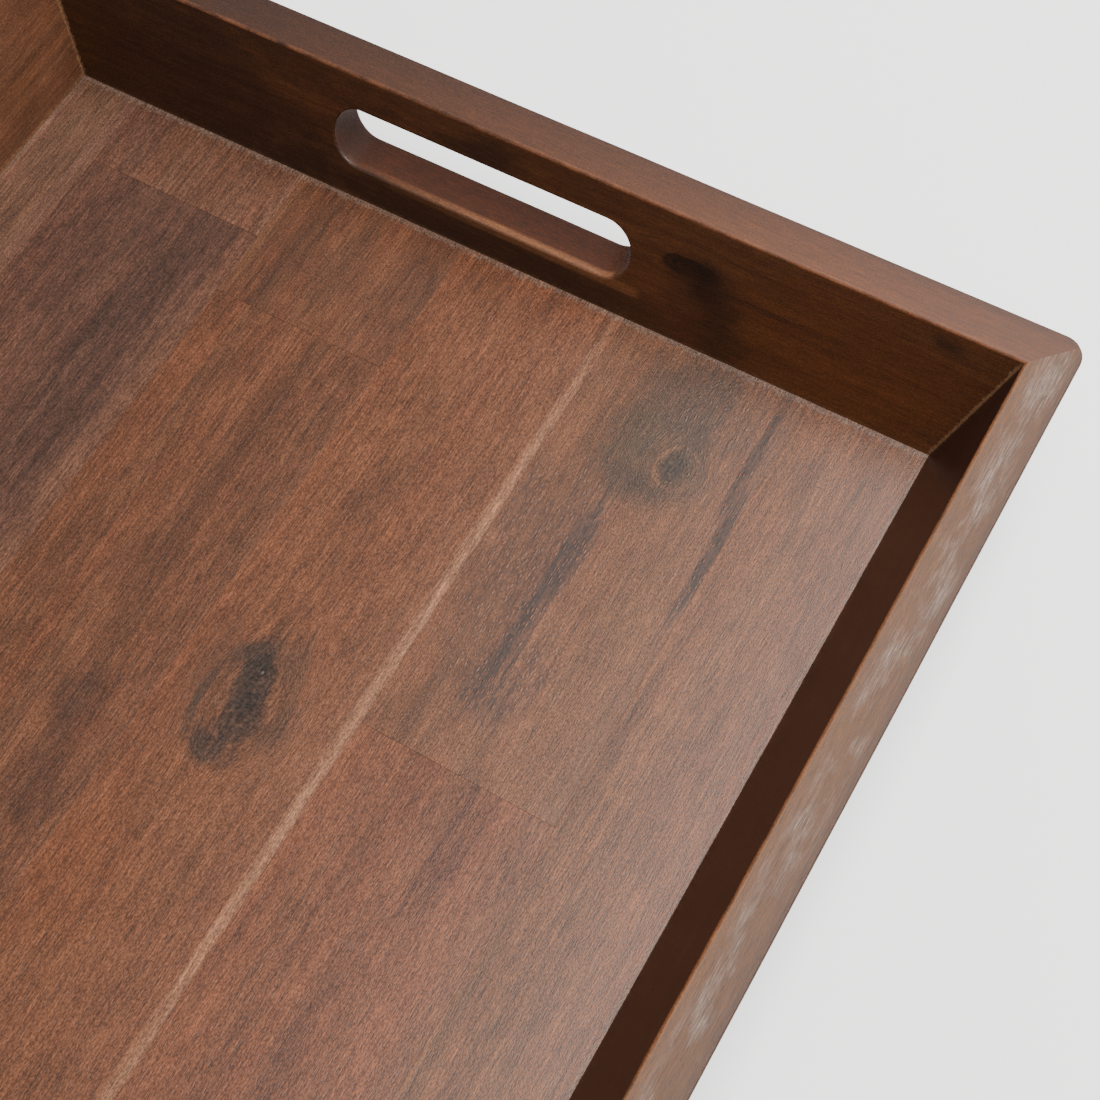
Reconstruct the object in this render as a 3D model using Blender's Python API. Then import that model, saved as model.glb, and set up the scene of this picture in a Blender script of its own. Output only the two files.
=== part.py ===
"""Acacia serving tray with leaning sides: mitred rails around a stave floor, a hand slot in each end.

Frame: +Z up, +Y along the tray's length, origin under the middle of the tray on the table.
Metres throughout.
"""
import math

import bmesh
import bpy

# Driving sizes
FLOOR_WIDTH = 0.306          # clear floor between the side rails, at the floor's top face
FLOOR_LENGTH = 0.450         # clear floor between the end rails
WELL_DEPTH = 0.0398          # floor's top face to the rim
WALL_LEAN = math.radians(21.7)   # outward lean of every rail from the vertical
WALL_THICKNESS = 0.0124      # square to the rail's faces
FLOOR_THICKNESS = 0.0070
FOOT_HEIGHT = 0.0045         # rail left under the floor's groove
GROOVE_DEPTH = 0.0050        # level cut in the rail that takes the floor's edge
RIM_EASE = 0.0012            # rounding of the rim's two long edges
FOOT_EASE = 0.0010           # rounding of the edges that the tray stands on
CORNER_RADIUS = 0.0075       # rounding of the tray's outer corners, in plan
SLOT_LENGTH = 0.1050         # hand slot, end to end
SLOT_HEIGHT = 0.0188
SLOT_BELOW_RIM = 0.0110      # wood left between the slot and the rim, vertically
SLOT_SHIFT = -0.0015         # where the back slot's middle lies along X; the front one mirrors it
SLOT_EASE = 0.0024           # rounding of the slot's lips
SPLINE_THICKNESS = 0.0025    # loose tongue hidden in each mitre
SPLINE_WIDTH = 0.0100        # across the mitre, half in each rail
SPLINE_TOP_COVER = 0.0065    # wood left over a spline, under the rim
SPLINE_FLOOR_COVER = 0.0030  # wood left between a spline and the floor's groove
FIT_GAP = 0.0003             # between pieces that touch

# Floor pattern: each row's width as a share of the floor, left to right, and the places of
# its butt joints as shares of the floor's length, from the back end
FLOOR_ROWS = (
    (0.078, (0.46,)),
    (0.213, (0.060, 0.56)),
    (0.198, (0.110, 0.67)),
    (0.185, (0.73,)),
    (0.201, (0.329, 0.86)),
    (0.125, (0.66,)),
)

# Worked-out sizes
SLOPE = math.tan(WALL_LEAN)
WALL_ACROSS = WALL_THICKNESS / math.cos(WALL_LEAN)
GROOVE_BOTTOM = FOOT_HEIGHT
FLOOR_BOTTOM = GROOVE_BOTTOM + FIT_GAP
FLOOR_TOP = FLOOR_BOTTOM + FLOOR_THICKNESS
GROOVE_TOP = FLOOR_TOP + FIT_GAP
RIM_TOP = FLOOR_TOP + WELL_DEPTH
SLOT_MIDDLE = RIM_TOP - SLOT_BELOW_RIM - SLOT_HEIGHT / 2

ARC_STEPS = 4        # facets in an eased edge
CORNER_STEPS = 6     # facets in half of an outer corner
SLOT_STEPS = 14      # facets in each round end of a slot
PAST_FACE = 0.004    # how far a cutter runs past the wood

ACACIA_TONES = (
    (0.118, 0.048, 0.026),
    (0.168, 0.071, 0.038),
    (0.092, 0.037, 0.021),
    (0.143, 0.057, 0.030),
    (0.196, 0.086, 0.045),
)
ACACIA_ROUGHNESS = 0.42


def clear_scene():
    for old in list(bpy.data.objects):
        bpy.data.objects.remove(old, do_unlink=True)


def wood_material(name, tone):
    material = bpy.data.materials.new(name)
    material.use_nodes = True
    shader = material.node_tree.nodes["Principled BSDF"]
    shader.inputs["Base Color"].default_value = (*ACACIA_TONES[tone % len(ACACIA_TONES)], 1.0)
    shader.inputs["Roughness"].default_value = ACACIA_ROUGHNESS
    shader.inputs["Metallic"].default_value = 0.0
    return material


def add_object(name, bm, tone=0, smooth_angle=35.0):
    bmesh.ops.remove_doubles(bm, verts=bm.verts, dist=1e-6)
    bmesh.ops.recalc_face_normals(bm, faces=bm.faces)
    mesh = bpy.data.meshes.new(name)
    bm.to_mesh(mesh)
    bm.free()
    mesh.shade_smooth()
    mesh.set_sharp_from_angle(angle=math.radians(smooth_angle))
    mesh.materials.append(wood_material(name, tone))
    obj = bpy.data.objects.new(name, mesh)
    bpy.context.scene.collection.objects.link(obj)
    return obj


def loft(rings):
    """Closed solid through rings of points that match one to one, with a flat cap at each end."""
    bm = bmesh.new()
    rows = [[bm.verts.new(point) for point in ring] for ring in rings]
    for near, far in zip(rows, rows[1:]):
        for i in range(len(near)):
            j = (i + 1) % len(near)
            bm.faces.new((near[i], near[j], far[j], far[i]))
    bm.faces.new(rows[0])
    bm.faces.new(list(reversed(rows[-1])))
    return bm


def cut(target, cutter_bm, name):
    """Takes a cutter's shape out of an object with a Boolean."""
    cutter = add_object(name, cutter_bm)
    cutter.hide_render = True
    cutter.display_type = "WIRE"
    modifier = target.modifiers.new(name, "BOOLEAN")
    modifier.operation = "DIFFERENCE"
    modifier.solver = "EXACT"
    modifier.object = cutter


def inner_face(z):
    """Outward distance of a rail's inner face at height z, from the floor's clear edge."""
    return (z - FLOOR_TOP) * SLOPE


def eased_corner(before, corner, after, radius):
    """Points of an arc that rounds a corner of an outline."""
    if radius == 0.0:
        return [corner]
    to_before = [b - c for b, c in zip(before, corner)]
    to_after = [a - c for a, c in zip(after, corner)]
    before_unit = [v / math.hypot(*to_before) for v in to_before]
    after_unit = [v / math.hypot(*to_after) for v in to_after]
    cosine = sum(b * a for b, a in zip(before_unit, after_unit))
    half_angle = math.acos(max(-1.0, min(1.0, cosine))) / 2
    reach = radius / math.tan(half_angle)
    middle_distance = radius / math.sin(half_angle)
    bisector = [b + a for b, a in zip(before_unit, after_unit)]
    scale = middle_distance / math.hypot(*bisector)
    centre = [c + v * scale for c, v in zip(corner, bisector)]
    start = [c + v * reach - m for c, v, m in zip(corner, before_unit, centre)]
    end = [c + v * reach - m for c, v, m in zip(corner, after_unit, centre)]
    turn = math.atan2(start[0] * end[1] - start[1] * end[0], start[0] * end[0] + start[1] * end[1])
    points = []
    for step in range(ARC_STEPS + 1):
        angle = turn * step / ARC_STEPS
        along = start[0] * math.cos(angle) - start[1] * math.sin(angle)
        up = start[0] * math.sin(angle) + start[1] * math.cos(angle)
        points.append((centre[0] + along, centre[1] + up))
    return points


def rail_profile():
    """The rail's outline as (outward, height, corner radius in plan) points."""
    corners = (
        (inner_face(RIM_TOP), RIM_TOP, RIM_EASE),
        (inner_face(RIM_TOP) + WALL_ACROSS, RIM_TOP, RIM_EASE),
        (inner_face(0.0) + WALL_ACROSS, 0.0, FOOT_EASE),
        (inner_face(0.0), 0.0, FOOT_EASE),
        (inner_face(GROOVE_BOTTOM), GROOVE_BOTTOM, 0.0),
        (GROOVE_DEPTH, GROOVE_BOTTOM, 0.0),
        (GROOVE_DEPTH, GROOVE_TOP, 0.0),
        (inner_face(GROOVE_TOP), GROOVE_TOP, 0.0),
    )
    outline = []
    for index, (outward, height, ease) in enumerate(corners):
        before = corners[index - 1][:2]
        after = corners[(index + 1) % len(corners)][:2]
        for point in eased_corner(before, (outward, height), after, ease):
            in_groove = ease == 0.0
            through_wall = (point[0] - inner_face(point[1])) / WALL_ACROSS
            radius = 0.0 if in_groove else CORNER_RADIUS * max(0.0, min(1.0, through_wall))
            outline.append((*point, radius))
    return outline


def rail_rings(half_length, half_across):
    """Rings along a rail whose mitred ends turn half of each outer corner."""
    outline = rail_profile()
    pull_back = FIT_GAP * math.sqrt(0.5)
    rings = []
    for side in (-1.0, 1.0):
        steps = range(CORNER_STEPS + 1)
        for step in (reversed(steps) if side < 0 else steps):
            angle = math.radians(45.0) * step / CORNER_STEPS
            ring = []
            for outward, height, radius in outline:
                along = half_length + outward - radius * (1.0 - math.sin(angle)) - pull_back
                across = half_across + outward - radius * (1.0 - math.cos(angle))
                ring.append((side * along, across, height))
            rings.append(ring)
    return rings


def turned(rings, quarter_turns):
    """The same rings turned about Z by quarter turns."""
    for _ in range(quarter_turns):
        rings = [[(-y, x, z) for x, y, z in ring] for ring in rings]
    return rings


def slot_outline(grow):
    """Round-ended outline of a hand slot in X and Z, grown outward by an amount."""
    radius = SLOT_HEIGHT / 2 + grow
    run = SLOT_LENGTH / 2 - SLOT_HEIGHT / 2
    points = []
    for side, start in ((1.0, -90.0), (-1.0, 90.0)):
        for step in range(SLOT_STEPS + 1):
            angle = math.radians(start + 180.0 * step / SLOT_STEPS)
            along = SLOT_SHIFT + side * run + radius * math.cos(angle)
            points.append((along, SLOT_MIDDLE + radius * math.sin(angle)))
    return points


def slot_cutter_rings():
    """Rings of a level slot whose lips are rounded where it meets the leaning faces."""
    lip = []
    for step in range(ARC_STEPS + 1):
        angle = math.radians(90.0) * step / ARC_STEPS
        lip.append((SLOT_EASE * (1.0 - math.cos(angle)), SLOT_EASE * (1.0 - math.sin(angle))))
    stations = [(-PAST_FACE, SLOT_EASE)]
    stations += lip
    stations += [(WALL_ACROSS - depth, grow) for depth, grow in reversed(lip)]
    stations.append((WALL_ACROSS + PAST_FACE, SLOT_EASE))
    rings = []
    for depth, grow in stations:
        outline = slot_outline(grow)
        rings.append([(x, FLOOR_LENGTH / 2 + inner_face(z) + depth, z) for x, z in outline])
    return rings


def spline_rings(grow):
    """Rings of the leaning plate across the back right mitre, grown by a clearance all round."""
    low = GROOVE_TOP + SPLINE_FLOOR_COVER - grow
    high = RIM_TOP - SPLINE_TOP_COVER + grow
    half_thick = SPLINE_THICKNESS / 2 + grow
    half_wide = SPLINE_WIDTH / 2 + grow
    diagonal = math.sqrt(0.5)
    rings = []
    for height in (low, high):
        middle_x = FLOOR_WIDTH / 2 + inner_face(height) + WALL_ACROSS / 2
        middle_y = FLOOR_LENGTH / 2 + inner_face(height) + WALL_ACROSS / 2
        ring = []
        for out, across in ((-1, -1), (1, -1), (1, 1), (-1, 1)):
            x = middle_x + (out * half_thick + across * half_wide) * diagonal
            y = middle_y + (out * half_thick - across * half_wide) * diagonal
            ring.append((x, y, height))
        rings.append(ring)
    return rings


def at_corner(rings, side_x, side_y):
    """Mirrors rings from the back right corner to another corner."""
    return [[(side_x * x, side_y * y, z) for x, y, z in ring] for ring in rings]


CORNERS = {
    "back_left": (-1, 1),
    "back_right": (1, 1),
    "front_left": (-1, -1),
    "front_right": (1, -1),
}


def build_rail(name, half_length, half_across, quarter_turns, corners, tone):
    """A rail with its groove and mitred ends, and a pocket for a spline in each mitre."""
    rail = add_object(name, loft(turned(rail_rings(half_length, half_across), quarter_turns)), tone)
    for corner in corners:
        pocket = at_corner(spline_rings(FIT_GAP), *CORNERS[corner])
        cut(rail, loft(pocket), f"cutter_{name}_{corner}")
    return rail


def build_end_rails():
    half_width = FLOOR_WIDTH / 2
    half_length = FLOOR_LENGTH / 2
    for name, quarter_turns, corners, tone in (
        ("end_rail_back", 0, ("back_left", "back_right"), 0),
        ("end_rail_front", 2, ("front_left", "front_right"), 3),
    ):
        rail = build_rail(name, half_width, half_length, quarter_turns, corners, tone)
        cut(rail, loft(turned(slot_cutter_rings(), quarter_turns)), f"cutter_{name}_slot")


def build_side_rails():
    half_width = FLOOR_WIDTH / 2
    half_length = FLOOR_LENGTH / 2
    for name, quarter_turns, corners, tone in (
        ("side_rail_left", 1, ("back_left", "front_left"), 4),
        ("side_rail_right", 3, ("back_right", "front_right"), 2),
    ):
        build_rail(name, half_length, half_width, quarter_turns, corners, tone)


def build_splines():
    for corner, sides in CORNERS.items():
        add_object(f"corner_spline_{corner}", loft(at_corner(spline_rings(0.0), *sides)), 1)


def build_stave(name, x_range, y_range, tone):
    bm = bmesh.new()
    bmesh.ops.create_cube(bm, size=1.0)
    size = (x_range[1] - x_range[0], y_range[1] - y_range[0], FLOOR_THICKNESS)
    middle = (sum(x_range) / 2, sum(y_range) / 2, FLOOR_BOTTOM + FLOOR_THICKNESS / 2)
    bmesh.ops.scale(bm, vec=size, verts=bm.verts)
    bmesh.ops.translate(bm, vec=middle, verts=bm.verts)
    add_object(name, bm, tone)


def build_floor():
    """Staves in rows along the tray, edge to edge, with their ends in the rails' grooves."""
    in_groove = GROOVE_DEPTH - FIT_GAP
    all_shares = sum(share for share, _ in FLOOR_ROWS)
    last_row = len(FLOOR_ROWS) - 1
    share_before = 0.0
    for row, (share, butts) in enumerate(FLOOR_ROWS):
        left = -FLOOR_WIDTH / 2 + FLOOR_WIDTH * share_before / all_shares + FIT_GAP / 2
        share_before += share
        right = -FLOOR_WIDTH / 2 + FLOOR_WIDTH * share_before / all_shares - FIT_GAP / 2
        if row == 0:
            left = -FLOOR_WIDTH / 2 - in_groove
        if row == last_row:
            right = FLOOR_WIDTH / 2 + in_groove
        back = FLOOR_LENGTH / 2 + in_groove
        for index, butt in enumerate((*butts, 1.0)):
            is_last = index == len(butts)
            front = FLOOR_LENGTH / 2 - FLOOR_LENGTH * butt + FIT_GAP / 2
            if is_last:
                front = -FLOOR_LENGTH / 2 - in_groove
            build_stave(f"floor_row{row + 1}_stave{index + 1}", (left, right), (front, back), row + 2 * index)
            back = front - FIT_GAP


def main():
    clear_scene()
    build_floor()
    build_side_rails()
    build_end_rails()
    build_splines()


main()
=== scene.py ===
"""Acacia serving tray: stained stave floor and mitred, leaning rails with a hand slot in each end."""

import math
from typing import NamedTuple

import bmesh
import bpy
from mathutils import Matrix, Vector, noise


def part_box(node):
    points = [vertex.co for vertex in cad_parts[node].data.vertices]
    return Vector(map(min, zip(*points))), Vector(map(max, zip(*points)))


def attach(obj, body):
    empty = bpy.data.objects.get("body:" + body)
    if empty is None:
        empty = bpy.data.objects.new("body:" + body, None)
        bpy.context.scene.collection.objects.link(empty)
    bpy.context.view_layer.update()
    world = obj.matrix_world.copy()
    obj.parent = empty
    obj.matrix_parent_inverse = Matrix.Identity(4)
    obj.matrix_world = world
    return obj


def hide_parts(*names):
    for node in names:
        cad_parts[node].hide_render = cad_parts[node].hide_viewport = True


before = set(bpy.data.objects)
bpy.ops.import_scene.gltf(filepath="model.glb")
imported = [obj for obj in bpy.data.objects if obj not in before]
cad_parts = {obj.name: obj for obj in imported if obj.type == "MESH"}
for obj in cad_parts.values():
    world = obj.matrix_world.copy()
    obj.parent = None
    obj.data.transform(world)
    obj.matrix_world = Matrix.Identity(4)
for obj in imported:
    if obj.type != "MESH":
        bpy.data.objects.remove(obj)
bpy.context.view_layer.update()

bl_info = {
    "name": "Acacia Serving Tray",
    "version": (1, 0, 0),
    "blender": (4, 5, 0),
    "location": "3D View > Sidebar > Tray",
    "description": "Finishes the tray's rails and floor staves in stained acacia, in a soft studio",
    "category": "Object",
}

MM = 0.001

# Taken from the frame
FLOOR_NODES = sorted(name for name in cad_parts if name.startswith("floor_"))
SPLINE_NODES = sorted(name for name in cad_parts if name.startswith("corner_spline"))
FLOOR_LOW = Vector(map(min, *(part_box(name)[0] for name in FLOOR_NODES)))
FLOOR_HIGH = Vector(map(max, *(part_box(name)[1] for name in FLOOR_NODES)))
FLOOR_TOP = FLOOR_HIGH.z
RIM_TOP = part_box("side_rail_right")[1].z
GROOVE_REACH = 4.7 * MM      # how far the floor's edge goes into a rail
HALF_WIDTH = FLOOR_HIGH.x - GROOVE_REACH
HALF_LENGTH = FLOOR_HIGH.y - GROOVE_REACH

# How finely the rails' curves are cut
CORNER_STEPS = 9
EASE_STEPS = 5
LIP_STEPS = 7
SLOT_END_STEPS = 12
CROSS_CUT = 11 * MM          # spacing of the cuts that let the sanding wander
SMOOTH_ANGLE = math.radians(32.0)

# Clearances that keep faces from sharing a plane
GROOVE_UNDER = 0.3 * MM      # below the floor's edge in its groove
GROOVE_OVER = 0.05 * MM      # above it
SLOT_FLAT = 0.02 * MM        # half the short flat left at each round end of a slot
MITRE_GAP = 0.01 * MM        # how far a rail stops short of its mitre plane
PAPER_DROP = 0.1 * MM        # how far the paper lies below the foot

# Hand sanding wavers in short and in long waves, both per metre, and alike in every run
SHORT_WAVES = 38.0
LONG_WAVES = 9.0
SANDING_SEED = 5

# Start of each wood's pattern, so that no two boards share their grain
FIRST_STAVE_SEED = 1.0
FIRST_RAIL_SEED = 30.0
SPLINE_SEED = 53.0

# A board's tone wanders along it: each row multiplies its red, green and blue
PALER = (1.14, 1.16, 1.20)
DEEPER = (0.86, 0.84, 0.82)
REDDER = (1.07, 0.93, 0.86)
GREYER = (0.93, 1.07, 1.14)

LACQUER_IOR = 1.5
BEYOND = 99.0                # an open end of a band, in millimetres


def linear(hex_colour):
    """sRGB hex to the linear values that a shader takes, with full alpha."""
    values = []
    for start in (1, 3, 5):
        share = int(hex_colour[start:start + 2], 16) / 255
        values.append(share / 12.92 if share <= 0.04045 else ((share + 0.055) / 1.055) ** 2.4)
    return (*values, 1.0)


def colour_property(name, description, hex_colour):
    return bpy.props.FloatVectorProperty(
        name=name, description=description, subtype="COLOR", size=4, min=0.0, max=1.0,
        default=linear(hex_colour))


def length_property(name, description, default):
    return bpy.props.FloatProperty(
        name=name, description=description, default=default, min=0.0, unit="LENGTH", precision=5)


# ---------------------------------------------------------------- settings

class TrayRailSettings(bpy.types.PropertyGroup):
    """Sizes of the four rails."""
    lean: bpy.props.FloatProperty(
        name="Lean", description="Outward lean of the rails", default=math.radians(21.7), subtype="ANGLE")
    thickness: length_property("Thickness", "Rail stock, square to its faces", 12.4 * MM)
    groove_depth: length_property("Groove depth", "Level cut that takes the floor's edge", 5.0 * MM)
    corner_radius: length_property("Corner radius", "Rounding of the outer corners", 6.5 * MM)
    rim_inner: length_property("Inner rim ease", "How far the inner rim edge is sanded back", 0.7 * MM)
    rim_outer: length_property("Outer rim ease", "How far the outer rim edge is sanded back", 1.0 * MM)
    foot_ease: length_property("Foot ease", "How far the foot's edges are sanded back", 1.0 * MM)
    slot_length: length_property("Slot length", "Hand slot, end to end", 105.0 * MM)
    slot_height: length_property("Slot height", "Hand slot, top to bottom", 18.8 * MM)
    slot_below_rim: length_property("Wood over slot", "Wood between the slot and the rim", 11.0 * MM)
    slot_shift: bpy.props.FloatProperty(
        name="Slot shift", description="Where the back slot's middle lies; the front one mirrors it",
        default=-1.5 * MM, unit="LENGTH", precision=5)
    slot_ease_in: length_property("Inner slot ease", "Rounding of the lips inside the tray", 2.6 * MM)
    slot_ease_out: length_property("Outer slot ease", "Rounding of the lips outside the tray", 4.0 * MM)
    hand_wobble: length_property("Hand wobble", "Unevenness left by hand sanding", 0.10 * MM)


class TrayFloorSettings(bpy.types.PropertyGroup):
    """Sizes of the floor staves."""
    side_close: length_property("Side closing", "How far a stave grows into a glue line", 0.14 * MM)
    end_close: length_property("End closing", "How far a stave grows into a butt joint", 0.125 * MM)
    arris: length_property("Arris", "Softness of a stave's edges", 0.05 * MM)


class TrayColourSettings(bpy.types.PropertyGroup):
    """Colours of the stained acacia."""
    dust: colour_property("Dust", "Sanding dust and lacquer gathered at the walls", "#6E5C50")
    # Partly wear and partly a painted highlight along the rim's inner arris
    worn: colour_property("Worn arris", "Wood showing through at the rim's edge", "#8A5230")
    # Laid in the pores, and also round the raised fibres as painted shade
    pore: colour_property("Pores", "Stain gathered in the pores", "#170D08")
    spline: colour_property("Spline", "Unstained tongues in the mitres", "#B88A58")
    filler: colour_property("Corner filler", "Filler and lacquer dried in the corners", "#7E5D42")
    # Painted sheen, laid on the rims in milky patches
    painted_rim_sheen: colour_property("Old polish", "Polish dried milky along the rims", "#8E7C73")
    outer_line: colour_property("Outer line", "Stain left dark along a rim's outer edge", "#3A1E10")
    slot: colour_property("Slot", "Stain in the routed wood of the hand slots", "#512509")
    # Painted shade in each slot's left end
    painted_slot_end_shade: colour_property("Slot end", "Stain gathered in a slot's left end", "#2A1206")
    # Painted highlight along each slot's eased lower lip
    painted_lip_highlight: colour_property("Slot lip", "Wood worn bare along a slot's lower lip", "#96603C")
    floor: colour_property("Studio floor", "Pale paper under the tray", "#F4F4F2")


class TrayStageSettings(bpy.types.PropertyGroup):
    """The studio round the tray."""
    camera_place: bpy.props.FloatVectorProperty(
        name="Camera", description="Where the camera stands", subtype="XYZ", unit="LENGTH",
        default=(0.2151, -0.0348, 0.4796))
    camera_target: bpy.props.FloatVectorProperty(
        name="Target", description="What the camera looks at", subtype="XYZ", unit="LENGTH",
        default=(0.07237, 0.14697, 0.0118))
    camera_roll: bpy.props.FloatProperty(
        name="Roll", description="Turn about the line of sight", default=math.radians(-8.74), subtype="ANGLE")
    camera_lens: bpy.props.FloatProperty(
        name="Lens", description="Focal length", default=60.03, unit="CAMERA")
    key_power: bpy.props.FloatProperty(
        name="Key", description="Large soft light over the right side", default=42.0, unit="POWER")
    back_power: bpy.props.FloatProperty(
        name="Back", description="Low strip light behind the tray", default=5.0, unit="POWER")
    fill: bpy.props.FloatProperty(name="Fill", description="Brightness of the surroundings", default=0.35)
    paper_glow: bpy.props.FloatProperty(
        name="Paper glow", description="Light that comes through the paper floor", default=0.8)


# ---------------------------------------------------------------- shapes

def finish_piece(bm, name, material, replaces):
    """Makes a piece of a bmesh, gives it its finish and ties it to the tray."""
    bmesh.ops.recalc_face_normals(bm, faces=bm.faces)
    mesh = bpy.data.meshes.new(name)
    bm.to_mesh(mesh)
    bm.free()
    mesh.shade_smooth()
    mesh.set_sharp_from_angle(angle=SMOOTH_ANGLE)
    mesh.materials.append(material)
    piece = bpy.data.objects.new(name, mesh)
    bpy.context.scene.collection.objects.link(piece)
    normals = piece.modifiers.new("even_normals", "WEIGHTED_NORMAL")
    normals.keep_sharp = True
    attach(piece, "root")
    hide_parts(replaces)
    return piece


def carve(bm, cutter_bm):
    """Takes a cutter's shape out of a bmesh with an exact Boolean."""
    objects = []
    for label, source in (("carve_body", bm), ("carve_cutter", cutter_bm)):
        bmesh.ops.recalc_face_normals(source, faces=source.faces)
        mesh = bpy.data.meshes.new(label)
        source.to_mesh(mesh)
        source.free()
        obj = bpy.data.objects.new(label, mesh)
        bpy.context.scene.collection.objects.link(obj)
        objects.append(obj)
    body, cutter = objects
    cut = body.modifiers.new("cut", "BOOLEAN")
    cut.operation = "DIFFERENCE"
    cut.solver = "EXACT"
    cut.object = cutter
    evaluated = body.evaluated_get(bpy.context.evaluated_depsgraph_get())
    result = bmesh.new()
    result.from_mesh(evaluated.to_mesh())
    evaluated.to_mesh_clear()
    for obj in objects:
        mesh = obj.data
        bpy.data.objects.remove(obj)
        bpy.data.meshes.remove(mesh)
    bmesh.ops.remove_doubles(result, verts=result.verts, dist=1e-6)
    return result


def bevel_edges(bm, edges, offset, segments):
    bmesh.ops.bevel(bm, geom=edges, offset=offset, offset_type="OFFSET", segments=segments,
                    profile=0.5, affect="EDGES", material=-1, clamp_overlap=True)


def box_bmesh(low, high):
    bm = bmesh.new()
    bmesh.ops.create_cube(bm, size=1.0)
    low, high = Vector(low), Vector(high)
    bmesh.ops.scale(bm, vec=high - low, verts=bm.verts)
    bmesh.ops.translate(bm, vec=(low + high) / 2, verts=bm.verts)
    return bm


def rim_frame(sizes):
    """All four rails as one ring, with eased rims and rounded outer corners."""
    slope = math.tan(sizes.lean)
    across = sizes.thickness / math.cos(sizes.lean)
    foot_out = across - FLOOR_TOP * slope
    top_out = RIM_TOP * slope
    bm = box_bmesh((-HALF_WIDTH - foot_out, -HALF_LENGTH - foot_out, 0.0),
                   (HALF_WIDTH + foot_out, HALF_LENGTH + foot_out, RIM_TOP))
    for vert in [v for v in bm.verts if v.co.z > RIM_TOP / 2]:
        outward = (math.copysign(top_out, vert.co.x), math.copysign(top_out, vert.co.y), 0.0)
        bmesh.ops.translate(bm, vec=outward, verts=[vert])
    bm.normal_update()
    level = [f for f in bm.faces if abs(f.normal.z) > 0.99]
    bmesh.ops.inset_region(bm, faces=level, thickness=across, use_even_offset=True)
    rims = [e for f in level for e in f.edges]
    bmesh.ops.delete(bm, geom=level, context="FACES_ONLY")
    bmesh.ops.bridge_loops(bm, edges=rims)
    bmesh.ops.recalc_face_normals(bm, faces=bm.faces)
    bm.normal_update()
    upright = [e for e in bm.edges if abs(e.verts[0].co.z - e.verts[1].co.z) > RIM_TOP / 2]
    middle = HALF_WIDTH + (RIM_TOP / 2 - FLOOR_TOP) * slope + across / 2
    outer = [e for e in upright if abs(e.verts[0].co.x + e.verts[1].co.x) / 2 > middle]
    bevel_edges(bm, outer, sizes.corner_radius, CORNER_STEPS)
    bm.normal_update()
    for height, sign, ease_in, ease_out in (
        (RIM_TOP, 1.0, sizes.rim_inner, sizes.rim_outer),
        (0.0, -1.0, sizes.foot_ease, sizes.foot_ease),
    ):
        for inner, ease in ((True, ease_in), (False, ease_out)):
            edges = ring_edges(bm, height, sign, inner, slope, across)
            bevel_edges(bm, edges, ease, EASE_STEPS)
            bm.normal_update()
    return bm


def ring_edges(bm, height, sign, inner, slope, across):
    """Edges where the level rim or foot meets the inner or the outer faces of the rails."""
    middle = (height - FLOOR_TOP) * slope + across / 2
    found = []
    for edge in bm.edges:
        if max(abs(v.co.z - height) for v in edge.verts) > 1e-6:
            continue
        level = [f for f in edge.link_faces if f.normal.z * sign > 0.999]
        if len(level) != 1:
            continue
        centre = (edge.verts[0].co + edge.verts[1].co) / 2
        outward = max(abs(centre.x) - HALF_WIDTH, abs(centre.y) - HALF_LENGTH)
        if (outward < middle) == inner:
            found.append(edge)
    return found


def slot_cutter(sizes, end):
    """Round-ended bar through the back end rail, or through the front one where end is -1."""
    high = RIM_TOP - sizes.slot_below_rim
    low = high - sizes.slot_height
    half = sizes.slot_length / 2
    middle = sizes.slot_shift * end
    near, far = sorted((HALF_LENGTH * 0.8 * end, HALF_LENGTH * 1.3 * end))
    bm = box_bmesh((middle - half, near, low), (middle + half, far, high))
    along = [e for e in bm.edges if abs(e.verts[0].co.y - e.verts[1].co.y) > HALF_LENGTH / 3]
    bevel_edges(bm, along, sizes.slot_height / 2 - SLOT_FLAT, SLOT_END_STEPS)
    return bm


def slot_lips(bm, sizes, inside):
    """Edges where the slots break through the rails' inner or outer faces."""
    high = RIM_TOP - sizes.slot_below_rim
    low = high - sizes.slot_height
    reach = sizes.slot_length / 2 + abs(sizes.slot_shift)
    found = []
    for edge in bm.edges:
        ends = [v.co for v in edge.verts]
        if any(abs(p.x) > reach + 1e-5 or p.z < low - 1e-5 or p.z > high + 1e-5 for p in ends):
            continue
        walls = [f for f in edge.link_faces if abs(f.normal.y) > 0.9]
        if len(walls) == 1 and (walls[0].normal.y * ends[0].y < 0) == inside:
            found.append(edge)
    return found


def cross_cuts(bm, step):
    """Cuts the rails across at a regular step, so that sanding can wander along them."""
    for axis, half in ((Vector((1, 0, 0)), HALF_WIDTH), (Vector((0, 1, 0)), HALF_LENGTH)):
        count = int(half * 2 / step)
        for index in range(count + 1):
            place = -half + 2 * half * index / count
            everything = bm.verts[:] + bm.edges[:] + bm.faces[:]
            bmesh.ops.bisect_plane(bm, geom=everything, plane_co=axis * place, plane_no=axis, dist=1e-7)


def sand_by_hand(bm, sizes):
    """Moves the rails' eased edges and slot lips a little, as hand sanding leaves them."""
    noise.seed_set(SANDING_SEED)
    for vert in bm.verts:
        at = vert.co
        outward = max(abs(at.x) - HALF_WIDTH, abs(at.y) - HALF_LENGTH)
        diagonal = abs((abs(at.x) - HALF_WIDTH) - (abs(at.y) - HALF_LENGTH))
        if at.z < FLOOR_TOP + 2 * MM or diagonal < 1 * MM or outward < 0:
            continue
        short = noise.noise_vector(at * SHORT_WAVES)
        long = noise.noise_vector(at * LONG_WAVES + Vector((5.2, 1.7, 3.3)))
        push = short * 0.6 + long
        vert.co += push * sizes.hand_wobble


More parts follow.
